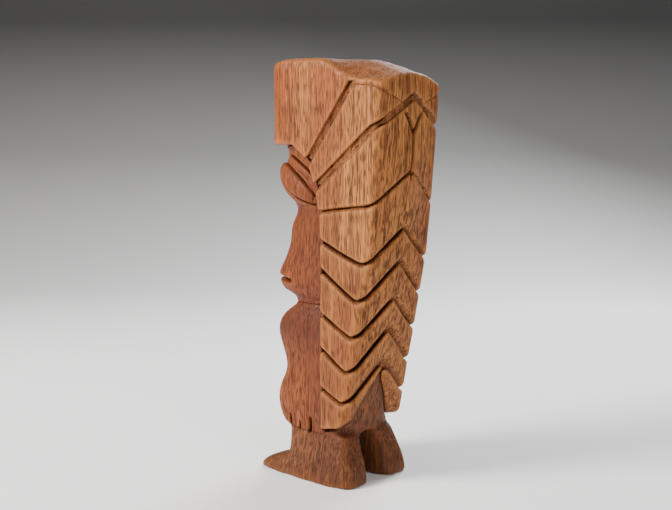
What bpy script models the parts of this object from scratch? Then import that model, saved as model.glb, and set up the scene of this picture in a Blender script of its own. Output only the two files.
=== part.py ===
"""Carved wooden tiki figure: one block of hardwood, modelled region by region along the carver's own cuts."""

import math

import bmesh
import bpy
from mathutils import Vector

# Driving dimensions in millimetres. The figure faces -Y, its left side is +X, it stands on Z = 0.
MM = 0.001
GAP = 0.3
HEIGHT = 305.0
HALF_WIDTH = 33.5
CROWN_FRONT = 66.0
CROWN_FLAT_END = 30.0
BOX_CENTRE_Y = -4.0
BROW_Z = 244.0
BROW_BACK_Z = 231.0
CAPE_FRONT = 1.0
BODY_BOTTOM_Z = 35.0
LEG_TOP_Z = 34.7
ANKLE_Z = 15.0
NECK_Z = 131.0
HIPS_TOP_Z = 84.0
HIPS_RECESS = 3.5

# Each groove line round the cape: height at the front edge, at the back corner and at the centre of the back.
# The crown's line climbs straight to its apex, part way back along the side, and runs level from there.
CROWN_LINE = (231.0, 282.0, 267.0)
CROWN_APEX_Y = 28.5
CROWN_APEX_Z = 284.5
LEAF_LINE = (212.0, 253.0, 277.0)
SIDE_BEND = 1.2
COLLAR_LINE = (196.0, 201.0, 227.0)
ROW_LINES = (
    (177.0, 162.0, 188.0),
    (157.0, 136.0, 165.0),
    (125.0, 110.0, 139.0),
    (100.0, 85.0, 118.0),
    (71.0, 62.0, 96.0),
)
HEM_LINE = (38.5, 42.0, 89.0)

# The cape tapers in depth toward the feet. Its back corner and its ridge lie at these depths.
TAPER_BREAK_Z = 165.0
CORNER_AT_BREAK = 45.5
LOW_TAPER = 0.2
HIGH_TAPER = 0.09
RIDGE_LIMIT = 58.0
CORNER_RADIUS = 6.0

# The cuts between the plume rows run in to one point on the centre plane, at the height of the back corner.
CORE_Y = 8.0
CORE_RISE = 3.0

# The eyes stand out from the head as long pods. The jaw is as wide as the head.
EYE_CENTRE = (21.0, -33.5, 216.0)
EYE_RADII = (26.0, 10.0, 13.0)
EYE_TILT = 0.49
EYE_TURN = 1.3
JAW_TOP_Z = 165.0
NOSE_LOW_Z = 168.0
NOSE_HIGH_Z = 229.0

SIDE_STEPS = 11
ARC_STEPS = 4
BACK_STEPS = 8
FRONT_STEPS = 10
ARC_RISE = 0.2
DIAGONAL_ARC_RISE = 0.27
BROW_STEPS = 4
UPPER_BEVEL = 2.4
LOWER_BEVEL = 1.2


def material(name, colour, roughness):
    made = bpy.data.materials.new(name)
    made.use_nodes = True
    shader = made.node_tree.nodes["Principled BSDF"]
    shader.inputs["Base Color"].default_value = (*colour, 1.0)
    shader.inputs["Roughness"].default_value = roughness
    shader.inputs["Metallic"].default_value = 0.0
    return made


def smooth(t):
    t = min(max(t, 0.0), 1.0)
    return t * t * (3.0 - 2.0 * t)


def lerp(a, b, t):
    return a + (b - a) * t


def place(name, colour, points, faces, sharp_angle=40.0):
    """One closed object from millimetre points, cleaned and facing outward."""
    mesh = bpy.data.meshes.new(name)
    build = bmesh.new()
    verts = [build.verts.new((x * MM, y * MM, z * MM)) for x, y, z in points]
    for face in faces:
        corners = [verts[i] for i in face]
        if len(set(face)) > 2:
            build.faces.new(corners)
    bmesh.ops.remove_doubles(build, verts=build.verts, dist=0.01 * MM)
    bmesh.ops.triangulate(build, faces=build.faces, quad_method="SHORT_EDGE")
    bmesh.ops.recalc_face_normals(build, faces=build.faces)
    if build.calc_volume(signed=True) < 0.0:
        bmesh.ops.reverse_faces(build, faces=build.faces)
    build.to_mesh(mesh)
    build.free()
    mesh.shade_smooth()
    mesh.set_sharp_from_angle(angle=math.radians(sharp_angle))
    mesh.materials.append(colour)
    obj = bpy.data.objects.new(name, mesh)
    obj.location = (0.0, -BOX_CENTRE_Y * MM, 0.0)
    bpy.context.scene.collection.objects.link(obj)
    return obj


def corner_y(z):
    slope = LOW_TAPER if z < TAPER_BREAK_Z else HIGH_TAPER
    return CORNER_AT_BREAK + slope * (z - TAPER_BREAK_Z)


def ridge_y(z):
    swell = 1.5 + 4.5 * smooth((z - TAPER_BREAK_Z) / 60.0)
    return min(corner_y(z) + swell, RIDGE_LIMIT)


def front_y(z):
    rise = max(z - 185.0, 0.0) / 46.0
    return -CAPE_FRONT - 12.0 * rise**1.5


def stations():
    """The points round one half of the cape, as the stretch they lie on and the share of it."""
    side = [("side", i / SIDE_STEPS) for i in range(SIDE_STEPS)]
    arc = [("arc", i / ARC_STEPS) for i in range(ARC_STEPS)]
    back = [("back", i / BACK_STEPS) for i in range(BACK_STEPS + 1)]
    return side + arc + back


def outline(stretch, t, z):
    """Half-width and depth of the cape at one station and height."""
    arc_y = corner_y(z) - CORNER_RADIUS
    if stretch == "side":
        return HALF_WIDTH, lerp(front_y(z), arc_y, t)
    lean = (ridge_y(z) - corner_y(z)) / HALF_WIDTH
    if stretch == "arc":
        angle = t * math.pi / 2.0
        y = arc_y + CORNER_RADIUS * (math.sin(angle) + lean * (1.0 - math.cos(angle)))
        return HALF_WIDTH - CORNER_RADIUS * (1.0 - math.cos(angle)), y
    x = lerp(HALF_WIDTH - CORNER_RADIUS, 1.0, t)
    return x, corner_y(z) + lean * (HALF_WIDTH - x)


def straight_between(y, low, high):
    return lerp(low[1], high[1], (y - low[0]) / (high[0] - low[0]))


def diagonal_height(line, t):
    """Height at one share of the side face on a line that is straight on that face. The face's edge leans forward."""
    front, corner, _ = line
    edge = (front_y(front), front)
    end = (corner_y(corner) - CORNER_RADIUS, corner)
    apex = (CROWN_APEX_Y, CROWN_APEX_Z)
    z = lerp(front, corner, t)
    for _ in range(40):
        y = lerp(front_y(z), corner_y(z) - CORNER_RADIUS, t)
        if line == LEAF_LINE:
            target = straight_between(y, edge, end)
        elif y < CROWN_APEX_Y:
            target = straight_between(y, edge, apex)
        else:
            target = straight_between(y, apex, end)
        z = 0.5 * (z + target)
    return z


def line_height(line, stretch, t):
    front, corner, peak = line
    diagonal = line in (CROWN_LINE, LEAF_LINE)
    rise, power = (DIAGONAL_ARC_RISE, 1.0) if diagonal else (ARC_RISE, 1.5)
    if stretch == "side" and diagonal:
        return diagonal_height(line, t)
    if stretch == "side":
        return corner + (front - corner) * (1.0 - t) ** SIDE_BEND
    if stretch == "arc":
        return lerp(corner, peak, rise * t**power)
    return lerp(lerp(corner, peak, rise), peak, t)


def curve_of(line):
    """The groove as height against depth, which is the same right across the block."""
    curve = []
    for stretch, t in stations():
        z = line_height(line, stretch, t)
        y = outline(stretch, t, z)[1]
        if not curve or y > curve[-1][0] + 0.02:
            curve.append((y, z))
    return curve


def at(curve, y):
    """Height and slope of a groove curve at one depth."""
    for (y0, z0), (y1, z1) in zip(curve, curve[1:]):
        if y <= y1 or (y1, z1) == curve[-1]:
            slope = (z1 - z0) / (y1 - y0)
            if y < y0:
                return z0, 0.0
            return z0 + slope * (y - y0), slope
    return curve[-1][1], 0.0


def clear(curve, y, sign):
    """The groove height moved by half the gap, measured square to its slope."""
    z, slope = at(curve, y)
    return z + sign * 0.5 * GAP * math.sqrt(1.0 + slope * slope)


def inset(stretch, t, z, depth):
    """An outline point moved in from the side. Its depth stays, so that facing cuts share their break lines."""
    x, y = outline(stretch, t, z)
    if stretch == "side":
        return x - depth, y
    if stretch == "arc":
        return x - depth * math.cos(t * math.pi / 2.0), y
    return x, y


def cap_ring(line, sign, bevel):
    """The bevelled rim of a cut that runs straight across the block."""
    curve = curve_of(line)
    ring = []
    for stretch, t in stations():
        z = line_height(line, stretch, t)
        x, y = inset(stretch, t, z, bevel)
        ring.append((x, y, clear(curve, y, sign)))
    return ring


def wall_ring(low, high, t):
    """A ring on the cape's face, part way up from one groove line to the next."""
    ring = []
    for stretch, s in stations():
        bottom = line_height(low, stretch, s) + LOWER_BEVEL
        top = line_height(high, stretch, s) - UPPER_BEVEL
        z = lerp(bottom, max(top, bottom + 0.4), t)
        x, y = outline(stretch, s, z)
        ring.append((x, y, z))
    return ring


def skin(rings, inner):
    """Points and faces of a stack of rings. inner(point) gives each ring point's partner across the block."""
    count = len(rings[0])
    points = []
    for ring in rings:
        points += ring
        points += [inner(p) for p in ring]
    faces = []
    step = 2 * count
    for level in range(len(rings) - 1):
        base, top = level * step, (level + 1) * step
        for i in range(count - 1):
            faces.append((base + i, base + i + 1, top + i + 1, top + i))
            low, high = base + count + i, top + count + i
            faces.append((low, high, high + 1, low + 1))
        faces.append((base, top, top + count, base + count))
        last = count - 1
        faces.append((base + last, base + count + last, top + count + last, top + last))
    for level in (0, len(rings) - 1):
        base = level * step
        for i in range(count - 1):
            faces.append((base + i, base + i + 1, base + count + i + 1, base + count + i))
    return points, faces


def mirrored(point):
    return -point[0], point[1], point[2]


def to_centre(point):
    return 0.15, point[1], point[2]


def flip(points):
    return [(-x, y, z) for x, y, z in points]


def core_of(line):
    return 0.0, CORE_Y, line[1] + CORE_RISE


def fan_ring(line, sign, bevel):
    """The rim of a cut that runs in to the core, bevelled along its own rays so that facing cuts stay parallel."""
    core = core_of(line)
    spread = (line[2] - line[1]) / (HALF_WIDTH - CORNER_RADIUS)
    lift = sign * 0.5 * GAP * math.sqrt(1.0 + spread * spread)
    ring = []
    for stretch, t in stations():
        z = line_height(line, stretch, t)
        x, y = outline(stretch, t, z)
        share = bevel / math.hypot(x, y - CORE_Y)
        ring.append((lerp(x, core[0], share), lerp(y, core[1], share), lerp(z, core[2], share) + lift))
    return ring, (core[0], core[1], core[2] + lift)


def whole_ring(half):
    return half + [mirrored(p) for p in reversed(half)]


def cape_row(name, colour, low, high):
    """One row of plumes, right round the cape. The topmost row meets the mantle, whose cut goes straight across."""
    levels = 4
    under, low_core = fan_ring(low, 1.0, LOWER_BEVEL)
    over, high_core = fan_ring(high, -1.0, UPPER_BEVEL)
    straight = high == COLLAR_LINE
    if straight:
        over = cap_ring(high, -1.0, UPPER_BEVEL)
    walls = [wall_ring(low, high, k / (levels - 1)) for k in range(levels)]
    rings = [whole_ring(ring) for ring in (under, *walls, over)]
    count = len(rings[0])
    points = [p for ring in rings for p in ring]
    faces = []
    for level in range(len(rings) - 1):
        for i in range(count):
            a, b = level * count + i, level * count + (i + 1) % count
            faces.append((a, b, b + count, a + count))
    points += [low_core, high_core]
    last = (len(rings) - 1) * count
    for i in range(count):
        after = (i + 1) % count
        faces.append((i, after, len(points) - 2))
        if not straight:
            faces.append((last + i, last + after, len(points) - 1))
    if straight:
        points.pop()
        for i in range(count // 2 - 1):
            faces.append((last + i, last + i + 1, last + count - 2 - i, last + count - 1 - i))
    return place(name, colour, points, faces)


def mantle_half(name, colour, side):
    """One half of the wide band above the plume rows. The halves part at the centre of the back."""
    levels = 5
    rings = [cap_ring(COLLAR_LINE, 1.0, LOWER_BEVEL)]
    for k in range(levels):
        rings.append(wall_ring(COLLAR_LINE, LEAF_LINE, k / (levels - 1)))
    rings.append(cap_ring(LEAF_LINE, -1.0, UPPER_BEVEL))
    points, faces = skin(rings, to_centre)
    return place(name, colour, points if side > 0 else flip(points), faces)


def crest_half(name, colour, side):
    """The leaf-shaped lobe between the two diagonal grooves, down to where they meet behind."""
    low_curve = curve_of(LEAF_LINE)
    high_curve = curve_of(CROWN_LINE)
    rings = [[], [], [], []]
    for stretch, t in stations():
        if stretch == "back" and t > 0.74:
            break
        low = line_height(LEAF_LINE, stretch, t)
        high = line_height(CROWN_LINE, stretch, t)
        share = min(1.0, (high - low) / 12.0)
        x, y = inset(stretch, t, low, LOWER_BEVEL * share)
        rings[0].append((x, y, clear(low_curve, y, 1.0)))
        for k, z in ((1, low + LOWER_BEVEL * share), (2, high - UPPER_BEVEL * share)):
            rings[k].append((*outline(stretch, t, z), z))
        x, y = inset(stretch, t, high, UPPER_BEVEL * share)
        rings[3].append((x, y, clear(high_curve, y, -1.0)))
    points, faces = skin(rings, to_centre)
    return place(name, colour, points if side > 0 else flip(points), faces)


def crown_side(y):
    """Height of the crown's underside at one depth: flat below the forehead, then up the first groove."""
    if y < -CROWN_FLAT_END:
        return BROW_Z
    if y < -13.0:
        return lerp(BROW_Z, BROW_BACK_Z, (y + CROWN_FLAT_END) / (CROWN_FLAT_END - 13.0))
    upper = clear(curve_of(CROWN_LINE), y, 1.0)
    lower = clear(curve_of(LEAF_LINE), y, 1.0)
    return max(upper, lower)


def crown_top(x, y):
    """The top is level over the forehead and falls away behind it, most of all at its side edges."""
    fall = 1.2 * smooth((y + 30.0) / 40.0) + 11.0 * smooth((y - 12.0) / 50.0) ** 1.3
    edge = 14.0 * smooth((y + 2.0) / 30.0) - 4.0 * smooth((y - 30.0) / 18.0)
    return HEIGHT - fall - edge * (x / HALF_WIDTH) ** 2


def crown_line_height(stretch, t):
    upper = line_height(CROWN_LINE, stretch, t)
    return max(upper, line_height(LEAF_LINE, stretch, t))


def crown_ends():
    """Each point round the crown's edge, low and high: the round forehead, the flat cheek of the block, the back."""
    ends = []
    depth = CROWN_FRONT - CROWN_FLAT_END
    for i in range(FRONT_STEPS):
        angle = (0.03 + 0.97 * i / FRONT_STEPS) * math.pi / 2.0
        x = HALF_WIDTH * math.sin(angle) ** 0.9
        y = -CROWN_FLAT_END - depth * math.cos(angle) ** 0.95
        ends.append(((x, y), (x, y)))
    for i in range(BROW_STEPS):
        y = lerp(-CROWN_FLAT_END, front_y(BROW_BACK_Z), i / BROW_STEPS)
        ends.append(((HALF_WIDTH, y), (HALF_WIDTH, y)))
    for stretch, t in stations():
        low = outline(stretch, t, crown_line_height(stretch, t))
        ends.append((low, outline(stretch, t, 287.0)))
    return ends


def crown(colour):
    ends = crown_ends()
    count = len(ends)
    rings = []
    for share, depth in ((0.0, LOWER_BEVEL), (0.03, 0.0), (0.5, 0.0), (0.9, 0.0), (0.97, 1.0), (1.0, 3.6)):
        ring = []
        for (x0, y0), (x1, y1) in ends:
            x, y = lerp(x0, x1, share), lerp(y0, y1, share)
            if share > 0.5:
                pull = depth / math.hypot(x, y)
                x, y = x * (1.0 - pull), y * (1.0 - pull)
            elif y < 45.0:
                x -= depth * min(1.0, x / 10.0)
            ring.append((x, y, lerp(crown_side(y0), crown_top(x, y), share)))
        rings.append(ring)
    points, faces = skin(rings, mirrored)
    top_base = (len(rings) - 1) * 2 * count
    faces = faces[: 1 - count]
    columns = 6
    grid = []
    for i in range(count):
        x, y, _ = rings[-1][i]
        row = [top_base + count + i]
        for c in range(1, columns):
            xc = lerp(-x, x, c / columns)
            points.append((xc, y, crown_top(xc, y)))
            row.append(len(points) - 1)
        row.append(top_base + i)
        grid.append(row)
    for row, after in zip(grid, grid[1:]):
        for c in range(columns):
            faces.append((row[c], row[c + 1], after[c + 1], after[c]))
    faces.append(tuple(grid[0]))
    faces.append(tuple(reversed(grid[-1])))
    return place("crown", colour, points, faces)


def body_ring(half, front, back, z, power=2.6, steps=12, x0=0.0):
    """Half a rounded section from its front centre to its flat back. z is a height or a rule of depth."""
    ring = []
    for i in range(steps + 1):
        angle = (0.04 + 0.96 * i / steps) * math.pi / 2.0
        x = x0 + (half - x0) * math.sin(angle) ** (2.0 / power)
        y = back - 1.0 + (front - back + 1.0) * math.cos(angle) ** (2.0 / power)
        ring.append((x, y, z(y) if callable(z) else z))
    ring.append((half, back, z(back) if callable(z) else z))
    return ring


def bumps(z, base, *peaks):
    """A profile made of a base value and smooth swellings, each (height, half-span, amount)."""
    value = base
    for centre, span, amount in peaks:
        value += amount * math.exp(-(((z - centre) / span) ** 2))
    return value


def face_top(y):
    return crown_side(y) - GAP - 0.2


def head_ring(z, front, half, power):
    return body_ring(half, -front, front_y(z) - GAP, z, power)


def face(colour):
    """Brow, temples and cheeks, from the jaw up to the crown."""
    rings = []
    levels = 16
    for k in range(levels + 1):
        z = lerp(JAW_TOP_Z + 0.5 * GAP, BROW_BACK_Z - 1.0, k / levels)
        front = bumps(z, 47.5, (160.0, 14.0, 7.0), (181.0, 8.0, 2.0), (196.0, 7.0, -5.0), (226.0, 13.0, 3.0))
        rings.append(head_ring(z, front, bumps(z, 28.5, (160.0, 12.0, 1.0), (196.0, 6.0, -0.8)), 2.8))
    top = []
    for x, y, _ in body_ring(28.0, -51.0, front_y(BROW_BACK_Z) - GAP - 0.4, 0.0, 2.8):
        top.append((x, y, face_top(y)))
    rings.append(top)
    return place("face", colour, *skin(rings, mirrored))


def mouth(colour):
    """The full jaw with its lips, wide at the mouth and cut in sharply at the neck."""
    rings = []
    levels = 12
    for k in range(levels + 1):
        z = lerp(NECK_Z + 0.5 * GAP, JAW_TOP_Z - 0.5 * GAP, k / levels)
        front = bumps(z, 53.0, (148.0, 12.0, 4.5), (129.0, 5.0, -15.0))
        half = bumps(z, 29.0, (148.0, 12.0, 2.4), (129.0, 5.0, -4.0))
        rings.append(head_ring(z, front, half, bumps(z, 2.8, (146.0, 12.0, 1.2))))
    return place("mouth", colour, *skin(rings, mirrored))


def torso(colour):
    rings = []
    levels = 16
    for k in range(levels + 1):
        z = lerp(BODY_BOTTOM_Z, NECK_Z - 0.15, k / levels)
        front = -bumps(z, 54.0, (131.0, 10.0, -16.0), (108.0, 12.0, 5.5), (82.0, 10.0, -4.0), (57.0, 15.0, 9.0))
        front -= -6.0 * (1.0 - smooth((z - BODY_BOTTOM_Z) / 9.0))
        rings.append(body_ring(21.4, front, -CAPE_FRONT - GAP, z, 2.5))
    return place("torso", colour, *skin(rings, mirrored))


def arm(name, colour, side):
    """Shoulder, straight arm and hand in one length, lying flat against the torso."""
    inner = 21.4 + GAP
    rings = []
    levels = 16
    for k in range(levels + 1):
        z = lerp(BODY_BOTTOM_Z + 0.5, NECK_Z - 5.0, k / levels)
        front = -bumps(z, 48.5, (129.0, 8.0, -13.0), (107.0, 12.0, 5.0), (79.0, 9.0, -3.5), (55.0, 15.0, 5.0))
        front -= -4.0 * (1.0 - smooth((z - BODY_BOTTOM_Z) / 8.0))
        half = bumps(z, 29.5, (128.0, 8.0, -3.5), (106.0, 14.0, 1.6), (84.0, 10.0, -0.8), (54.0, 14.0, 1.8))
        ring = body_ring(half, front, -CAPE_FRONT - GAP, z, 2.4, 10, inner)
        rings.append(ring)
    points, faces = skin(rings, lambda p: (inner, p[1], p[2]))
    return place(name, colour, points if side > 0 else flip(points), faces)


def oval(name, colour, centre, radii, tilt, turn, grow):
    """A rounded pod. tilt turns it in the face plane, turn swings it round the head."""
    rows, columns = 14, 26
    points, faces = [], []
    for r in range(rows + 1):
        polar = math.pi * r / rows
        for c in range(columns):
            around = 2.0 * math.pi * c / columns
            u = math.sin(polar) * math.cos(around)
            v = math.sin(polar) * math.sin(around)
            w = math.cos(polar)
            local = Vector([q * (radius + grow) for q, radius in zip((u, w, v), radii)])
            x = local.x * math.cos(tilt) - local.z * math.sin(tilt)
            z = local.x * math.sin(tilt) + local.z * math.cos(tilt)
            xs = x * math.cos(turn) - local.y * math.sin(turn)
            ys = x * math.sin(turn) + local.y * math.cos(turn)
            points.append((centre[0] + xs, centre[1] + ys, centre[2] + z))
    for r in range(rows):
        for c in range(columns):
            a, b = r * columns + c, r * columns + (c + 1) % columns
            faces.append((a, b, b + columns, a + columns))
    return place(name, colour, points, faces, 60.0)


def nose(name, colour, grow):
    """The nose: narrow between the eyes, broad and full at the nostrils."""
    rings = []
    levels = 8
    for k in range(levels + 1):
        t = k / levels
        z = lerp(NOSE_LOW_Z - grow, NOSE_HIGH_Z + grow, t)
        swell = math.exp(-(((z - 177.0) / 11.0) ** 2))
        half = 4.6 + 6.8 * swell + grow
        front = -(51.0 + 5.5 * swell - 2.5 * smooth((z - 195.0) / 25.0)) - grow
        if k in (0, levels):
            half -= 1.0
            front += 1.5
        rings.append(body_ring(half, front, -36.0 + grow, z, 2.2, 6))
    return place(name, colour, *skin(rings, mirrored))


def subtract(target, cutter):
    """Cuts a hidden helper from a visible part, which then fits round it with the gap."""
    cutter.hide_render = True
    cutter.display_type = "WIRE"
    cut = target.modifiers.new(cutter.name, "BOOLEAN")
    cut.operation = "DIFFERENCE"
    cut.solver = "EXACT"
    cut.object = cutter


def set_into(targets, name, colour, make):
    """A rounded part, and the socket that it sits in, cut from its neighbours."""
    made = make(name, colour, 0.0)
    cutter = make("cut_" + name, colour, GAP)
    for target in targets:
        subtract(target, cutter)
    return made


def eye(side):
    """A long pod that slants back and down round the side of the head."""

    def make(name, colour, grow):
        centre = (side * EYE_CENTRE[0], EYE_CENTRE[1], EYE_CENTRE[2])
        turn = EYE_TURN if side > 0 else math.pi - EYE_TURN
        return oval(name, colour, centre, EYE_RADII, -EYE_TILT, turn, grow)

    return make


def hips(name, colour, grow):
    """The rounded seat and backs of the thighs that show below the cape's hem."""
    rings = []
    levels = 6
    for k in range(levels + 1):
        t = k / levels
        z = lerp(BODY_BOTTOM_Z - grow, HIPS_TOP_Z + grow, t)
        back = corner_y(z) - HIPS_RECESS
        half = lerp(26.5, 9.0, t * t)
        ring = []
        for i in range(9):
            angle = i / 8.0 * math.pi / 2.0
            x = (half + grow) * math.cos(angle * 0.985) ** 0.6
            ring.append((max(x, 0.8), lerp(4.0 - grow, back + grow, math.sin(angle)), z))
        rings.append(ring)
    return place(name, colour, *skin(rings, mirrored))


def limb_ring(inner, outer, front, back, z, power=3.0, steps=28):
    centre_x, centre_y = 0.5 * (inner + outer), 0.5 * (front + back)
    half_x, half_y = 0.5 * (outer - inner), 0.5 * (back - front)
    ring = []
    for i in range(steps):
        angle = 2.0 * math.pi * i / steps
        c, s = math.cos(angle), math.sin(angle)
        x = centre_x + half_x * math.copysign(abs(c) ** (2.0 / power), c)
        y = centre_y + half_y * math.copysign(abs(s) ** (2.0 / power), s)
        ring.append((x, y, z))
    return ring


def tube(name, colour, rings, side):
    """A closed loft through whole rings, capped flat at both ends."""
    points = [p for ring in rings for p in ring]
    count = len(rings[0])
    faces = []
    for level in range(len(rings) - 1):
        for i in range(count):
            a, b = level * count + i, level * count + (i + 1) % count
            faces.append((a, b, b + count, a + count))
    faces.append(tuple(range(count)))
    faces.append(tuple(range((len(rings) - 1) * count, len(rings) * count)))
    return place(name, colour, points if side > 0 else flip(points), faces)


def leg(name, colour, side):
    rings = []
    for k in range(6):
        t = k / 5.0
        z = lerp(ANKLE_Z + GAP, LEG_TOP_Z, t)
        inner = 7.5 - 2.0 * smooth(t)
        outer = lerp(35.0, 31.0, t)
        rings.append(limb_ring(inner, outer, lerp(-36.5, -40.0, t), lerp(25.0, 18.0, t), z, lerp(4.0, 3.2, t)))
    return tube(name, colour, rings, side)


def foot(name, colour, side):
    """A broad flat-soled foot: low rounded toe, full heel, narrowing up to the ankle."""
    rings = []
    for z, shrink in ((0.0, 0.8), (1.2, 0.0), (4.5, 0.0), (8.0, 0.10), (11.5, 0.4), (ANKLE_Z, 1.0)):
        toe = -66.0 + 27.0 * (z / ANKLE_Z) ** 2.0 + 0.8 * (z == 0.0)
        heel = 27.5 - 2.5 * (z / ANKLE_Z) ** 2 - 0.8 * (z == 0.0)
        outer = 38.0 - 3.0 * (z / ANKLE_Z) ** 1.8 - 0.8 * (z == 0.0)
        inner = 6.5 + shrink
        rings.append(limb_ring(inner, outer, toe, heel, z, 4.0))
    return tube(name, colour, rings, side)


def main():
    for obj in list(bpy.data.objects):
        bpy.data.objects.remove(obj)
    tan = material("cape_wood", (0.52, 0.30, 0.14), 0.5)
    crown_wood = material("crown_wood", (0.55, 0.31, 0.15), 0.5)
    red = material("body_wood", (0.36, 0.15, 0.07), 0.48)
    feet_wood = material("foot_wood", (0.27, 0.11, 0.05), 0.5)
    crown(crown_wood)
    for word, side in (("left", 1), ("right", -1)):
        crest_half("crest_" + word, tan, side)
        mantle_half("mantle_" + word, tan, side)
        arm("arm_" + word, red, side)
        leg("leg_" + word, feet_wood, side)
        foot("foot_" + word, feet_wood, side)
    lines = (COLLAR_LINE, *ROW_LINES, HEM_LINE)
    rows = [cape_row(f"row_{i + 1}", tan, lines[i + 1], lines[i]) for i in range(len(lines) - 1)]
    set_into(rows[-2:], "hips", red, hips)
    head = face(red)
    set_into([head], "eye_left", red, eye(1))
    set_into([head], "eye_right", red, eye(-1))
    set_into([head], "nose", red, nose)
    mouth(red)
    torso(red)


main()
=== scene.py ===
"""Finished look of the carved wooden tiki figure.

The CAD regions become one continuous carved surface in a distance field. Grooves, finger cuts and tool
marks are cut into that field, and it is then split along the grooves again into closed pieces."""

import math

import bpy
import numpy as np
import openvdb as vdb
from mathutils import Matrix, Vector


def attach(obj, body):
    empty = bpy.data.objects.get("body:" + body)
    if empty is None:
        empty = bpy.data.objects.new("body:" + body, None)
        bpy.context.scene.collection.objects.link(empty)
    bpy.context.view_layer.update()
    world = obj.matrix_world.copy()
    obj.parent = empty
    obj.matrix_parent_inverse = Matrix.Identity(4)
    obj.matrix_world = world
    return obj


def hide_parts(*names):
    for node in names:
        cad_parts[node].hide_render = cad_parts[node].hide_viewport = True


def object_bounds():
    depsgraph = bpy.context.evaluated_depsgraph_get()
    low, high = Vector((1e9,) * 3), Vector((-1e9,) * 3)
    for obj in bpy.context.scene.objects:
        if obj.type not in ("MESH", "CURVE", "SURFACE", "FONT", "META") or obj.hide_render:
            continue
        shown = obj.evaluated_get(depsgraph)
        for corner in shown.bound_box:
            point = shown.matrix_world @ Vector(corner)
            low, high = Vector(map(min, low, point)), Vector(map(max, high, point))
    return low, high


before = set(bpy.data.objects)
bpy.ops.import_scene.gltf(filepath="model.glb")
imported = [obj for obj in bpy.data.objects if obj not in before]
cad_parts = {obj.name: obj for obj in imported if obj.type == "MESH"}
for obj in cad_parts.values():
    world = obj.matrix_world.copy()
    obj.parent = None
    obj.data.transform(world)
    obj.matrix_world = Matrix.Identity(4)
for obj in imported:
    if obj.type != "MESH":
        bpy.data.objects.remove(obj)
cad_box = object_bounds()

MM = 0.001
VOXEL = 0.7 * MM
BAND = 7
MARGIN = 5 * MM
SHIFT_Y = 4 * MM
SPLIT = 0.02 * MM
CAPE_FILL = 3.2 * MM
CAPE_BLUR = 0.75 * MM
BODY_FILL = 4.0 * MM
BODY_BLUR = 1.1 * MM
BORDER_BLUR = 0.8 * MM
CUT_BLUR = 0.4 * MM
# Width of the painted shade along the crease between the cape and the body.
BORDER_SHADE_WIDTH = 1.1 * MM
BEND_DEPTH = 0.8 * MM
BEND_REACH = 2.0 * MM
BEND_SCALE = 0.35 * MM
CAPE = ("crown", "crest_left", "crest_right", "mantle_left", "mantle_right")
ROWS = tuple(f"row_{i}" for i in range(1, 7))
NAMES = sorted(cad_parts)
BODY_GROUPS = {
    "head": ("face", "mouth", "nose"),
    "eye_pod_left": ("eye_left",),
    "eye_pod_right": ("eye_right",),
    "chest_belly": ("torso",),
    "arm_hand_left": ("arm_left",),
    "arm_hand_right": ("arm_right",),
    "seat_legs_feet": ("hips", "leg_left", "leg_right", "foot_left", "foot_right"),
}

# The cape's shape, in millimetres. Each groove line has its height at the front edge, at the back corner and
# at the centre of the back.
HALF_WIDTH = 33.5
CORE_Y = 8.0
TAPER_BREAK_Z = 165.0
CORNER_AT_BREAK = 45.5
LOW_TAPER = 0.2
HIGH_TAPER = 0.09
RIDGE_LIMIT = 58.0
CORNER_RADIUS = 6.0
LINES = {
    "crown": (231.0, 282.0, 267.0),
    "leaf": (212.0, 253.0, 277.0),
    "collar": (196.0, 201.0, 227.0),
    "row_1": (177.0, 162.0, 188.0),
    "row_2": (157.0, 136.0, 165.0),
    "row_3": (125.0, 110.0, 139.0),
    "row_4": (100.0, 85.0, 118.0),
    "row_5": (71.0, 62.0, 96.0),
}
CROWN_APEX_Y = 28.5
CROWN_APEX_Z = 284.5
SIDE_BEND = 1.2
ARC_RISE = 0.2
DIAGONAL_ARC_RISE = 0.27

LOW = np.array(cad_box[0]) - MARGIN
HIGH = np.array(cad_box[1]) + MARGIN
FIRST = np.floor(LOW / VOXEL).astype(int)
SHAPE = tuple((np.ceil(HIGH / VOXEL).astype(int) - FIRST + 1).tolist())

# How deep the cuts go, in millimetres. Each finger cut has its place, its upper end and its depth.
ROW_DEPTH = 2.1
COLLAR_DEPTH = 2.0
CHANNEL_DEPTH = 1.5
UPRIGHT_DEPTH = 2.6
MOUTH_DEPTH = 3.4
FINGER_CUTS = ((-37.0, 47.0, 1.6), (-25.5, 44.0, 1.4), (-14.5, 48.0, 2.6))
EYE_Y = -33.5
EYE_Z = 216.0
EYE_SLOPE = 0.53

# Tints, and how strongly each wood takes its dark pores, red streaks, red front and the painted shadow on its
# chest (partly darker wood).
FRONT_RED = (0.30, 0.062, 0.014)
# Painted shadow under the muzzle on the chest, partly the darker red of the wood there.
CHEST_SHADOW_PAINT = (0.085, 0.018, 0.005)
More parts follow.
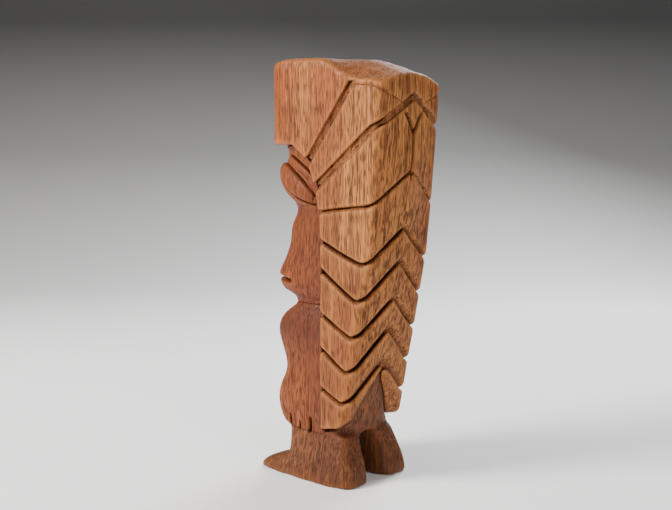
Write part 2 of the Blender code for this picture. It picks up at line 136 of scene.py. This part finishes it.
# Painted shade in the cuts and along the crease between cape and body.
CUT_SHADE_PAINT = (0.085, 0.026, 0.008)
WOODS = {
    "cape": {
        "pale": (0.40, 0.148, 0.036),
        "deep": (0.140, 0.044, 0.012),
        "red": (0.25, 0.066, 0.016),
        "pore_strength": 0.7,
        "red_share": 0.03,
        "front_share": 0.5,
        "chest_shadow_share": 0.0,
    },
    "crown": {
        "pale": (0.40, 0.148, 0.036),
        "deep": (0.140, 0.044, 0.012),
        "red": (0.28, 0.066, 0.016),
        "pore_strength": 0.7,
        "red_share": 0.06,
        "front_share": 1.0,
        "chest_shadow_share": 0.0,
    },
    "body": {
        "pale": (0.240, 0.066, 0.015),
        "deep": (0.080, 0.019, 0.004),
        "red": (0.145, 0.029, 0.007),
        "pore_strength": 0.6,
        "red_share": 0.14,
        "front_share": 0.2,
        "chest_shadow_share": 0.7,
    },
    "foot": {
        "pale": (0.195, 0.062, 0.017),
        "deep": (0.068, 0.020, 0.006),
        "red": (0.120, 0.031, 0.008),
        "pore_strength": 0.6,
        "red_share": 0.12,
        "front_share": 0.0,
        "chest_shadow_share": 0.0,
    },
}

# Each lamp: where it stands, how wide it is, its power and its colour.
WHITE = (1.0, 1.0, 1.0)
LAMPS = {
    "key": ((1.15, -0.55, 1.0), 0.55, 42.0, (1.0, 0.97, 0.93)),
    "fill": ((0.45, 1.5, 0.8), 1.1, 8.5, WHITE),
    "top": ((0.4, 0.1, 1.6), 1.2, 3.5, WHITE),
    "rim": ((-1.1, -0.3, 0.9), 0.8, 24.0, WHITE),
}
LAMP_AIM = (0.0, 0.0, 0.15)
CAMERA_PLACE = (0.5358, 0.4824 + SHIFT_Y, 0.233)
CAMERA_TURN = (84.5, 0.0, 132.93)
CAMERA_LENS = 52.93
BACKDROP_TURN = 132.0


# ---------------------------------------------------------------- distance fields


def axes():
    """The grid's X, Y and Z in millimetres of the figure's own frame, ready to broadcast."""
    x, y, z = [(FIRST[i] + np.arange(SHAPE[i])) * VOXEL / MM for i in range(3)]
    y = y - SHIFT_Y / MM
    return (
        x[:, None, None].astype(np.float32),
        y[None, :, None].astype(np.float32),
        z[None, None, :].astype(np.float32),
    )


def to_array(grid):
    field = np.full(SHAPE, BAND * VOXEL, np.float32)
    grid.copyToArray(field, ijk=tuple(int(i) for i in FIRST))
    return field


def from_array(field):
    grid = vdb.FloatGrid(BAND * VOXEL)
    grid.copyFromArray(np.ascontiguousarray(field), ijk=tuple(int(i) for i in FIRST))
    grid.transform = vdb.createLinearTransform(voxelSize=VOXEL)
    return grid


def level_set(points, **faces):
    return vdb.FloatGrid.createLevelSetFromPolygons(
        points.astype(np.float32),
        transform=vdb.createLinearTransform(voxelSize=VOXEL),
        halfWidth=BAND,
        **faces,
    )


def node_field(name):
    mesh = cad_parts[name].data
    mesh.calc_loop_triangles()
    points = np.empty(len(mesh.vertices) * 3, np.float32)
    mesh.vertices.foreach_get("co", points)
    faces = np.empty(len(mesh.loop_triangles) * 3, np.int32)
    mesh.loop_triangles.foreach_get("vertices", faces)
    return to_array(level_set(points.reshape(-1, 3), triangles=faces.reshape(-1, 3).astype(np.uint32)))


def closed_by(field, reach):
    """The solid with every gap narrower than twice reach filled, as a true distance field."""
    points, quads = from_array(field - np.float32(reach)).convertToQuads()
    return to_array(level_set(points, quads=quads.astype(np.uint32))) + np.float32(reach)


def blur(field, sigma):
    """Gaussian blur, sigma in metres."""
    width = sigma / VOXEL
    reach = max(1, int(math.ceil(2.2 * width)))
    weights = np.exp(-0.5 * (np.arange(-reach, reach + 1) / width) ** 2)
    weights /= weights.sum()
    for axis in range(3):
        padded = np.pad(field, [(reach, reach) if i == axis else (0, 0) for i in range(3)], mode="edge")
        total = np.zeros_like(field)
        for k, weight in enumerate(weights):
            part = [slice(None)] * 3
            part[axis] = slice(k, k + field.shape[axis])
            total += np.float32(weight) * padded[tuple(part)]
        field = total
    return field


def noise(seed, wave):
    """Smooth seeded noise, about -1 to 1, with a wavelength in millimetres for each axis."""
    rng = np.random.default_rng(seed)
    counts = [int(math.ceil(n * VOXEL / MM / w)) + 3 for n, w in zip(SHAPE, wave)]
    values = rng.uniform(-1.0, 1.0, counts).astype(np.float32)
    for axis, (n, w) in enumerate(zip(SHAPE, wave)):
        at = np.arange(n) * VOXEL / MM / w
        low = at.astype(int)
        share = at - low
        share = share * share * (3.0 - 2.0 * share)
        share = share.reshape([-1 if i == axis else 1 for i in range(3)]).astype(np.float32)
        values = np.take(values, low, axis) * (1 - share) + np.take(values, low + 1, axis) * share
    return values


def ramp(value, start, end):
    """0 at start, 1 at end, smooth between."""
    t = np.clip((value - start) / (end - start), 0.0, 1.0)
    return t * t * (3.0 - 2.0 * t)


# ---------------------------------------------------------------- groove lines


def smooth(t):
    return ramp(t, 0.0, 1.0)


def corner_y(z):
    slope = LOW_TAPER if z < TAPER_BREAK_Z else HIGH_TAPER
    return CORNER_AT_BREAK + slope * (z - TAPER_BREAK_Z)


def ridge_y(z):
    return min(corner_y(z) + 1.5 + 4.5 * float(smooth((z - TAPER_BREAK_Z) / 60.0)), RIDGE_LIMIT)


def front_y(z):
    return -1.0 - 12.0 * (max(z - 185.0, 0.0) / 46.0) ** 1.5


def straight_between(y, low, high):
    return low[1] + (high[1] - low[1]) * (y - low[0]) / (high[0] - low[0])


def side_height(line, t):
    """Height at one share of the side face. The two diagonals run straight, though the face's edge leans."""
    front, corner, _ = LINES[line]
    if line not in ("crown", "leaf"):
        return corner + (front - corner) * (1.0 - t) ** SIDE_BEND
    edge = (front_y(front), front)
    end = (corner_y(corner) - CORNER_RADIUS, corner)
    apex = (CROWN_APEX_Y, CROWN_APEX_Z)
    z = front + (corner - front) * t
    for _ in range(40):
        y = front_y(z) + (corner_y(z) - CORNER_RADIUS - front_y(z)) * t
        if line == "leaf":
            target = straight_between(y, edge, end)
        elif y < CROWN_APEX_Y:
            target = straight_between(y, edge, apex)
        else:
            target = straight_between(y, apex, end)
        z = 0.5 * (z + target)
    return z


def rim(line):
    """The groove round one half of the cape: bearing from the core, distance from it, and height."""
    front, corner, peak = LINES[line]
    rise, power = (DIAGONAL_ARC_RISE, 1.0) if line in ("crown", "leaf") else (ARC_RISE, 1.5)
    points = []
    for k in range(41):
        z = side_height(line, k / 40)
        low, high = front_y(z), corner_y(z) - CORNER_RADIUS
        points.append((HALF_WIDTH, low + (high - low) * k / 40, z))
    for k in range(1, 11):
        angle = k / 10 * math.pi / 2.0
        z = corner + (peak - corner) * rise * (k / 10) ** power
        lean = (ridge_y(z) - corner_y(z)) / HALF_WIDTH
        x = HALF_WIDTH - CORNER_RADIUS * (1.0 - math.cos(angle))
        y = corner_y(z) - CORNER_RADIUS * (1.0 - math.sin(angle) - lean * (1.0 - math.cos(angle)))
        points.append((x, y, z))
    for k in range(1, 41):
        t = k / 40
        z = corner + (peak - corner) * (rise + (1.0 - rise) * t)
        x = (HALF_WIDTH - CORNER_RADIUS) * (1.0 - t)
        lean = (ridge_y(z) - corner_y(z)) / HALF_WIDTH
        points.append((x, corner_y(z) + lean * (HALF_WIDTH - x), z))
    table = np.array(points)
    bearing = np.arctan2(table[:, 0], table[:, 1] - CORE_Y)
    reach = np.hypot(table[:, 0], table[:, 1] - CORE_Y)
    order = np.argsort(bearing)
    return bearing[order], reach[order], table[order, 2]


def heights(line, x, y):
    """Height of a groove's cut over the whole plan. It runs straight in from the surface to the core."""
    bearing, reach, z = rim(line)
    at = np.arctan2(np.abs(x), y - CORE_Y)
    far = np.interp(at, bearing, reach)
    level = np.interp(at, bearing, z)
    core = LINES[line][1] + 3.0
    return core + (level - core) * np.minimum(np.hypot(x, y - CORE_Y) / far, 1.25)


def seam(line, x, y, z):
    """Signed distance above a groove's cut, in millimetres."""
    level = heights(line, x[:, :, 0], y[:, :, 0])
    step = VOXEL / MM
    slope_x, slope_y = np.gradient(level, step)
    slope = np.sqrt(1.0 + slope_x**2 + slope_y**2)
    return ((z - level[:, :, None]) / slope[:, :, None]).astype(np.float32)


# ---------------------------------------------------------------- carving


def row_groove(d):
    """Deep just under the upper tier's edge, then a slope back out to the face of the tier below."""
    slope = 1.0 - ramp(-d, 0.7, 4.2)
    undercut = 1.0 - ramp(d, 0.1, 0.9)
    depth = ROW_DEPTH * np.where(d < 0.0, slope, undercut)
    # The second value is painted shade: a dark line just under the upper tier's edge and a lighter band down
    # the slope.
    painted_shade = 0.50 * np.exp(-(((d + 0.3) / 0.8) ** 2)) + 0.25 * (1.0 - ramp(np.abs(d + 1.4), 1.4, 2.6))
    return depth, painted_shade


def fine_groove(d):
    # Its depth, and painted shade along its line.
    return COLLAR_DEPTH * np.exp(-((np.abs(d) / 1.15) ** 2.4)), 0.55 * np.exp(-(d**2))


def channel(d):
    """A flat-bottomed channel with a sharper cut along each edge."""
    wide = np.abs(d)
    line = np.exp(-(((wide - 2.0) / 0.65) ** 2))
    depth = CHANNEL_DEPTH * (1.0 - ramp(wide, 1.9, 2.8)) + 0.45 * line
    # Painted shade over the channel's bottom, darker along its edges.
    return depth, 0.42 * (1.0 - ramp(wide, 1.9, 2.9)) + 0.25 * line


def cape_grooves(seams, y):
    """Depth of the cuts between the cape's regions, and how much painted shade darkens them."""
    depth = np.zeros(SHAPE, np.float32)
    painted_cut_shade = np.zeros(SHAPE, np.float32)
    for line, d in seams.items():
        if line == "crown":
            cut, painted_shade = channel(d)
            behind = ramp(y, 27.0, 36.0)
            soft = np.exp(-((d / 1.5) ** 2))
            keep = ramp(seams["leaf"] - d, 0.0, 1.5)
            cut = (cut * (1.0 - behind) + 0.6 * soft * behind) * keep
            painted_shade = (painted_shade * (1.0 - behind) + 0.12 * soft * behind) * keep
        elif line == "leaf":
            cut, painted_shade = channel(d)
        elif line == "collar":
            cut, painted_shade = fine_groove(d)
        else:
            cut, painted_shade = row_groove(d)
        depth = np.maximum(depth, cut.astype(np.float32))
        painted_cut_shade = np.maximum(painted_cut_shade, painted_shade.astype(np.float32))
    return depth, painted_cut_shade


def back_groove(x, y, z):
    """The upright cut at the centre of the back. It forks toward its top."""
    fork = 9.0 * np.clip((z - 249.0) / 17.0, 0.0, 1.0) ** 1.4
    run = ramp(z, 216.0, 222.0) * (1.0 - ramp(z, 263.0, 268.0)) * ramp(y, 38.0, 44.0)
    return UPRIGHT_DEPTH * np.exp(-(((np.abs(x) - fork) / 1.6) ** 2)) * run


def finger_cuts(x, y, z):
    """Upright cuts between the fingers at the lower end of each arm."""
    depth = 0.0
    for at, top, deep in FINGER_CUTS:
        run = ramp(z, 33.0, 35.0) * (1.0 - ramp(z, top - 8.0, top)) * ramp(np.abs(x), 20.0, 24.0)
        line = at + 0.05 * (z - 36.0)
        depth = depth + deep * np.exp(-(((y - line) / 1.1) ** 2)) * run
    return depth


def mouth_cut(x, y, z):
    """The open mouth, a slot between full lips that turns down at its ends."""
    line = 149.0 - 5.0 * (x / 30.0) ** 2
    run = 1.0 - ramp(y, -44.0, -30.0)
    return MOUTH_DEPTH * np.exp(-(((z - line) / 1.8) ** 4)) * run


def eye_cuts(x, y, z):
    """The upper and lower lids of the long slanting eyes, and the fold under the brow."""
    across = y - EYE_Y
    axis = EYE_Z - EYE_SLOPE * across
    half = 9.5 * np.sqrt(np.clip(1.0 - (across / 25.0) ** 2, 0.0, 1.0))
    upper = z - (axis + half)
    lower = z - (axis - 0.75 * half)
    inside = ramp(24.5 - np.abs(across), 0.0, 2.0)
    cut = (1.3 * np.exp(-((upper / 0.9) ** 2)) + 0.9 * np.exp(-((lower / 0.9) ** 2))) * inside
    along = np.clip((y + 56.0) / 48.0, 0.0, 1.0)
    fold = 240.0 - 22.0 * along**1.8
    cut = cut + 1.3 * np.exp(-(((z - fold) / 1.2) ** 2)) * ramp(y, -44.0, -38.0)
    return cut * ramp(np.abs(x), 7.0, 11.0)


def tool_marks(y, z):
    """Shallow gouge facets, long with the grain, and short strokes across the top."""
    long_marks = 0.30 * noise(3, (7.0, 8.0, 30.0)) + 0.14 * noise(4, (3.5, 4.0, 11.0))
    strokes = 0.35 * noise(5, (16.0, 3.4, 9.0)) * ramp(z, 278.0, 290.0) * ramp(y, -2.0, 18.0)
    return long_marks + strokes


def fields_of(names):
    """The nearest distance to any of these CAD regions."""
    total = np.full(SHAPE, np.float32(BAND * VOXEL))
    for name in names:
        total = np.minimum(total, node_field(name))
    return total


def body_shares():
    """For each group outside the cape, half of its distance less its nearest neighbour's, and their union."""
    fields = {name: node_field(name) for name in NAMES if name not in CAPE + ROWS}
    shares = {}
    for group in BODY_GROUPS.values():
        own = np.minimum.reduce([fields[n] for n in group])
        rest = np.minimum.reduce([f for n, f in fields.items() if n not in group])
        shares[group] = (own - rest) * np.float32(0.5)
    return shares, np.minimum.reduce(list(fields.values()))


def carve():
    x, y, z = axes()
    shares, body = body_shares()
    cape = fields_of(CAPE + ROWS)
    border = (cape - body) * np.float32(0.5)
    seams = {line: seam(line, x, y, z) for line in LINES}
    whole = np.minimum(body, cape)
    soft = blur(closed_by(whole, BODY_FILL), BODY_BLUR)
    block = blur(closed_by(cape, CAPE_FILL), CAPE_BLUR)
    in_cape = blur((border < 0.0).astype(np.float32), BORDER_BLUR)
    depth, painted_cut_shade = cape_grooves(seams, y)
    upright = back_groove(x, y, z)
    fingers = finger_cuts(x, y, z)
    face = eye_cuts(x, y, z) + mouth_cut(x, y, z) * ramp(z, 138.0, 141.0)
    cuts = blur((depth + upright) * in_cape, CUT_BLUR) + (fingers + face) * (1.0 - in_cape)
    # Painted shade in the cuts: the cape's grooves and its upright back cut, and the finger, eye and mouth
    # cuts.
    painted_cut_shade = np.maximum(painted_cut_shade, upright / UPRIGHT_DEPTH) * in_cape + (fingers + face) / 3.0 * (1.0 - in_cape)
    # Painted shade along the crease where the cape meets the body.
    edge = np.exp(-((border / np.float32(BORDER_SHADE_WIDTH)) ** 2)) * 0.7
    painted_cut_shade = np.maximum(painted_cut_shade, edge).astype(np.float32)
    marks = np.float32(MM) * (cuts + tool_marks(y, z)).astype(np.float32)
    floor = -np.broadcast_to(z, SHAPE) * np.float32(MM)
    surfaces = {"cape": np.maximum(block + marks, floor), "body": np.maximum(soft + marks, floor)}
    return surfaces, border, shares, seams, painted_cut_shade


def sample(field, points):
    """Trilinear values of a field at points in metres."""
    at = points / VOXEL - FIRST
    low = np.clip(np.floor(at).astype(int), 0, np.array(SHAPE) - 2)
    share = at - low
    total = np.zeros(len(points))
    for corner in range(8):
        step = np.array([(corner >> k) & 1 for k in range(3)])
        weight = np.prod(np.where(step, share, 1.0 - share), axis=1)
        i, j, k = (low + step).T
        total += weight * field[i, j, k]
    return total


# ---------------------------------------------------------------- pieces


def add_values(mesh, name, values):
    attribute = mesh.attributes.new(name, "FLOAT", "POINT")
    attribute.data.foreach_set("value", values.astype(np.float32))


def closed_mesh(name, points, quads):
    mesh = bpy.data.meshes.new(name)
    mesh.from_pydata(points.tolist(), [], quads.tolist())
    mesh.update()
    mesh.shade_smooth()
    return mesh


def outward(points, quads):
    a, b, c, d = (points[quads[:, i]].astype(np.float64) for i in range(4))
    volume = np.einsum("ij,ij->i", a, np.cross(b, c) + np.cross(c, d)).sum()
    return quads if volume > 0 else quads[:, ::-1]


def biggest_shell(points, quads):
    """Drops crumbs: keeps only the largest connected shell."""
    label = np.arange(len(points))
    while True:
        best = label[quads].min(axis=1)
        fresh = label.copy()
        for i in range(4):
            np.minimum.at(fresh, quads[:, i], best)
        fresh = fresh[fresh]
        if (fresh == label).all():
            break
        label = fresh
    ids, counts = np.unique(label[quads[:, 0]], return_counts=True)
    keep = label == ids[counts.argmax()]
    number = np.cumsum(keep) - 1
    return points[keep], number[quads[keep[quads[:, 0]]]]


def make_piece(name, nodes, finish, solid, painted_cut_shade, bent):
    points, quads = from_array(solid).convertToQuads()
    points, quads = biggest_shell(points.astype(np.float64), quads.astype(np.int64))
    mesh = closed_mesh(name, points, outward(points, quads))
    # Painted shade in the cuts, stored on each vertex.
    add_values(mesh, "cut", np.clip(sample(painted_cut_shade, points), 0.0, 1.0))
    # Lighter along convex edges: wear and a painted highlight.
    add_values(mesh, "wear_and_highlight", np.clip(sample(bent, points), -1.0, 1.0))
    obj = bpy.data.objects.new(name, mesh)
    bpy.context.scene.collection.objects.link(obj)
    mesh.materials.append(finish)
    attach(obj, "root")
    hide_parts(*nodes)
    return obj


def tier(seams, above, below):
    """The slab of the cape between two groove lines. Either may be missing, at the top and the bottom."""
    field = np.full(SHAPE, np.float32(-BAND * VOXEL))
    if above:
        field = np.maximum(field, seams[above] * np.float32(MM))
    if below:
        field = np.maximum(field, -seams[below] * np.float32(MM))
    return field


def cape_pieces(surfaces, border, seams, painted_cut_shade, bent, looks):
    x = axes()[0] * np.float32(MM)
    split = np.float32(SPLIT)
    body = np.maximum(surfaces["cape"], border) + split
    over = np.minimum(seams["crown"], seams["leaf"]) * np.float32(MM)
    make_piece("crown_block", ("crown",), looks["crown"], np.maximum(body, -over), painted_cut_shade, bent)
    for side, sign in (("left", -1.0), ("right", 1.0)):
        half = np.broadcast_to(x * np.float32(sign), SHAPE)
        leaf = np.maximum(np.maximum(body, tier(seams, "crown", "leaf")), half)
        band = np.maximum(np.maximum(body, tier(seams, "leaf", "collar")), half)
        make_piece("crest_leaf_" + side, ("crest_" + side,), looks["cape"], leaf, painted_cut_shade, bent)
        make_piece("mantle_half_" + side, ("mantle_" + side,), looks["cape"], band, painted_cut_shade, bent)
    lines = ["collar"] + ["row_%d" % i for i in range(1, 6)] + [None]
    for row, above, below in zip(ROWS, lines, lines[1:]):
        field = np.maximum(body, tier(seams, above, below))
        make_piece("plume_" + row, (row,), looks["cape"], field, painted_cut_shade, bent)


def body_pieces(surfaces, border, shares, painted_cut_shade, bent, looks):
    base = np.maximum(surfaces["body"], -border) + np.float32(SPLIT)
    for name, group in BODY_GROUPS.items():
        feet = name.startswith("seat")
        slot, look = ("foot_wood", looks["foot"]) if feet else ("body_wood", looks["body"])
        make_piece(name, group, look, np.maximum(base, shares[group]), painted_cut_shade, bent)


# ---------------------------------------------------------------- wood


class Wood:
    """Builds one wood material from nodes, with short helpers for what it repeats."""

    def __init__(self, name):
        self.material = bpy.data.materials.new(name)
        self.material.use_nodes = True
        self.tree = self.material.node_tree
        self.shader = self.tree.nodes["Principled BSDF"]
        coordinates = self.node("ShaderNodeTexCoord")
        self.place = coordinates.outputs["Object"]
        self.normal = coordinates.outputs["Normal"]

    def node(self, kind, **settings):
        made = self.tree.nodes.new(kind)
        for key, value in settings.items():
            setattr(made, key, value)
        return made

    def link(self, start, end):
        self.tree.links.new(start, end)

    def stretched(self, scale, offset=(0.0, 0.0, 0.0)):
        mapping = self.node("ShaderNodeMapping")
        mapping.inputs["Scale"].default_value = scale
        mapping.inputs["Location"].default_value = offset
        self.link(self.place, mapping.inputs["Vector"])
        return mapping.outputs["Vector"]

    def noise(self, scale, detail=2.0, roughness=0.5, distortion=0.0, offset=(0.0, 0.0, 0.0)):
        made = self.node("ShaderNodeTexNoise")
        made.inputs["Scale"].default_value = 1.0
        made.inputs["Detail"].default_value = detail
        made.inputs["Roughness"].default_value = roughness
        made.inputs["Distortion"].default_value = distortion
        self.link(self.stretched(scale, offset), made.inputs["Vector"])
        return made.outputs["Fac"]

    def ramp(self, value, *stops):
        made = self.node("ShaderNodeValToRGB")
        elements = made.color_ramp.elements
        while len(elements) < len(stops):
            elements.new(0.5)
        for element, (at, colour) in zip(elements, stops):
            element.position = at
            element.color = (*colour, 1.0) if isinstance(colour, tuple) else (colour, colour, colour, 1.0)
        self.link(value, made.inputs["Fac"])
        return made.outputs["Color"]

    def math(self, operation, a, b=None, clamp=False):
        made = self.node("ShaderNodeMath", operation=operation, use_clamp=clamp)
        for socket, value in zip(made.inputs, (a, b)):
            if value is None:
                continue
            if isinstance(value, (int, float)):
                socket.default_value = value
            else:
                self.link(value, socket)
        return made.outputs["Value"]

    def mix(self, share, a, b, blend="MIX"):
        made = self.node("ShaderNodeMix", data_type="RGBA", blend_type=blend)
        for key, value in (("Factor", share), ("A", a), ("B", b)):
            socket = [s for s in made.inputs if s.name == key and s.enabled][0]
            if isinstance(value, tuple):
                socket.default_value = (*value, 1.0)
            elif isinstance(value, (int, float)):
                socket.default_value = value
            else:
                self.link(value, socket)
        return [s for s in made.outputs if s.enabled][0]

    def attribute(self, name):
        return self.node("ShaderNodeAttribute", attribute_name=name).outputs["Fac"]


def wood(name, pale, deep, red, pore_strength, red_share, front_share, chest_shadow_share):
    """Open-pored hardwood, its grain upright: streaks, dark pores, red heart, a painted shadow on the chest,
    upward faces darkened as end grain and as painted shade, painted shade in the cuts, worn edges with a
    painted highlight.
    """
    w = Wood(name)
    broad = w.noise((26.0, 26.0, 5.0), 3.0, 0.55, 0.6)
    base = w.ramp(broad, (0.34, deep), (0.62, pale))
    streak = w.noise((340.0, 340.0, 8.0), 1.5, 0.5, 0.0, (3.1, 1.7, 0.4))
    base = w.mix(w.math("MULTIPLY", w.ramp(streak, (0.47, 0.0), (0.60, 1.0)), 0.9), base, deep)
    light = w.noise((520.0, 520.0, 22.0), 1.0, 0.5, 0.0, (6.1, 4.7, 2.4))
    glow = tuple(min(1.0, c * 1.3) for c in pale)
    base = w.mix(w.math("MULTIPLY", w.ramp(light, (0.50, 0.0), (0.62, 1.0)), 0.7), base, glow)
    heart = w.noise((17.0, 17.0, 4.0), 2.0, 0.5, 0.4, (8.3, 2.1, 5.5))
    reds = w.ramp(heart, (0.50 - red_share, 0.0), (0.74 - red_share, 1.0))
    base = w.mix(w.math("MULTIPLY", reds, 0.7), base, red)
    split = w.node("ShaderNodeSeparateXYZ")
    w.link(w.place, split.inputs["Vector"])
    toward_front = w.math("MULTIPLY", split.outputs["Y"], -1.0)
    bands = w.ramp(w.noise((160.0, 160.0, 4.0), 2.0, 0.5, 0.0, (1.3, 7.1, 3.5)), (0.40, 0.35), (0.58, 1.0))
    front = w.math("MULTIPLY", w.ramp(toward_front, (0.014, 0.0), (0.036, 1.0)), bands)
    base = w.mix(w.math("MULTIPLY", front, front_share), base, FRONT_RED)
    # Painted shadow on the chest under the muzzle, partly the darker wood there.
    chest = w.ramp(split.outputs["Z"], (0.094, 0.0), (0.106, 1.0), (0.122, 1.0), (0.132, 0.0))
    base = w.mix(w.math("MULTIPLY", chest, chest_shadow_share), base, CHEST_SHADOW_PAINT)
    pores = w.noise((900.0, 900.0, 120.0), 0.0, 0.5, 0.0, (0.7, 9.2, 3.3))
    where = w.noise((240.0, 240.0, 20.0), 2.0, 0.5, 0.0, (5.0, 3.0, 1.0))
    denser = w.ramp(where, (0.36, 0.5), (0.54, 1.0))
    pore = w.math("MULTIPLY", w.ramp(pores, (0.50, 0.0), (0.58, 1.0)), denser)
    dark = tuple(c * 0.35 for c in deep)
    base = w.mix(w.math("MULTIPLY", pore, pore_strength), base, dark)
    # Upward faces darker: end grain that takes more finish, and painted shade on the top.
    facing = w.node("ShaderNodeSeparateXYZ")
    w.link(w.normal, facing.inputs["Vector"])
    end_grain_and_top_shade = w.ramp(facing.outputs["Z"], (0.35, 0.0), (0.85, 1.0))
    base = w.mix(w.math("MULTIPLY", end_grain_and_top_shade, 0.5), base, deep)
    # Painted shade in the cuts and along the crease between cape and body.
    painted_cut_shade = w.ramp(w.attribute("cut"), (0.05, 0.0), (0.95, 1.0))
    base = w.mix(w.math("MULTIPLY", painted_cut_shade, 0.8), base, CUT_SHADE_PAINT)
    # Convex edges lighter: wear and a painted highlight.
    wear_and_highlight = w.ramp(w.attribute("wear_and_highlight"), (0.12, 0.0), (0.7, 1.0))
    base = w.mix(w.math("MULTIPLY", wear_and_highlight, 0.35), base, glow)
    w.link(base, w.shader.inputs["Base Color"])
    rough = w.ramp(broad, (0.3, 0.50), (0.7, 0.62))
    rough = w.math("ADD", rough, w.math("MULTIPLY", pore, 0.2), True)
    w.link(rough, w.shader.inputs["Roughness"])
    w.shader.inputs["Metallic"].default_value = 0.0
    w.shader.inputs["Specular IOR Level"].default_value = 0.25
    height = w.math("SUBTRACT", w.math("MULTIPLY", streak, 0.5), pore)
    bump = w.node("ShaderNodeBump")
    bump.inputs["Strength"].default_value = 0.6
    bump.inputs["Distance"].default_value = 0.25 * MM
    w.link(height, bump.inputs["Height"])
    w.link(bump.outputs["Normal"], w.shader.inputs["Normal"])
    return w.material


# ---------------------------------------------------------------- setting


def paper():
    """Pale paper with painted shade: it darkens smoothly away from the figure and up the backdrop, where the
    lamps' light falls off.
    """
    w = Wood("studio_paper")
    split = w.node("ShaderNodeSeparateXYZ")
    w.link(w.place, split.inputs["Vector"])
    away = w.math("ADD", w.math("MULTIPLY", split.outputs["Y"], 0.25), split.outputs["Z"])
    shade = w.ramp(away, (0.10, 0.97), (0.33, 0.60), (0.62, 0.24), (0.95, 0.045))
    w.link(shade, w.shader.inputs["Base Color"])
    w.shader.inputs["Roughness"].default_value = 0.9
    return w.material


def stage():
    """Floor and backdrop in one sheet that curves up behind the figure."""
    bend, start, half = 0.6, 1.0, 4.0
    profile = [(-4.0, 0.0), (start, 0.0)]
    for k in range(1, 17):
        angle = k / 16 * math.pi / 2.0
        profile.append((start + bend * math.sin(angle), bend * (1.0 - math.cos(angle))))
    profile.append((start + bend, 3.5))
    points = [(x, y, z) for y, z in profile for x in (-half, half)]
    faces = [(2 * k, 2 * k + 1, 2 * k + 3, 2 * k + 2) for k in range(len(profile) - 1)]
    mesh = bpy.data.meshes.new("backdrop")
    mesh.from_pydata(points, [], faces)
    mesh.shade_smooth()
    sheet = bpy.data.objects.new("backdrop", mesh)
    bpy.context.scene.collection.objects.link(sheet)
    sheet.rotation_euler = (0.0, 0.0, math.radians(BACKDROP_TURN))
    mesh.materials.append(paper())
    world = bpy.data.worlds.new("studio")
    world.use_nodes = True
    world.node_tree.nodes["Background"].inputs["Color"].default_value = (0.30, 0.30, 0.30, 1.0)
    world.node_tree.nodes["Background"].inputs["Strength"].default_value = 0.65
    bpy.context.scene.world = world


def lamp(name, place, size, power, colour):
    data = bpy.data.lights.new(name, "AREA")
    data.shape = "DISK"
    data.size = size
    data.energy = power
    data.color = colour
    obj = bpy.data.objects.new(name, data)
    bpy.context.scene.collection.objects.link(obj)
    obj.location = place
    line = [b - a for a, b in zip(place, LAMP_AIM)]
    flat = math.hypot(line[0], line[1])
    obj.rotation_euler = (math.atan2(flat, -line[2]), 0.0, math.atan2(-line[0], line[1]))


def lights():
    for name, (place, size, power, colour) in LAMPS.items():
        lamp(name, place, size, power, colour)


def camera():
    data = bpy.data.cameras.new("camera")
    data.sensor_width = 36.0
    data.lens = CAMERA_LENS
    obj = bpy.data.objects.new("camera", data)
    bpy.context.scene.collection.objects.link(obj)
    obj.location = CAMERA_PLACE
    obj.rotation_euler = [math.radians(angle) for angle in CAMERA_TURN]
    bpy.context.scene.camera = obj


def main():
    camera()
    stage()
    lights()
    looks = {key: wood(key + "_wood", **recipe) for key, recipe in WOODS.items()}
    surfaces, border, shares, seams, painted_cut_shade = carve()
    whole = np.minimum(np.maximum(surfaces["cape"], border), np.maximum(surfaces["body"], -border))
    near = np.clip(whole, -BEND_DEPTH, BEND_DEPTH)
    bent = (blur(near, BEND_REACH) - near) / np.float32(BEND_SCALE)
    cape_pieces(surfaces, border, seams, painted_cut_shade, bent, looks)
    body_pieces(surfaces, border, shares, painted_cut_shade, bent, looks)


main()
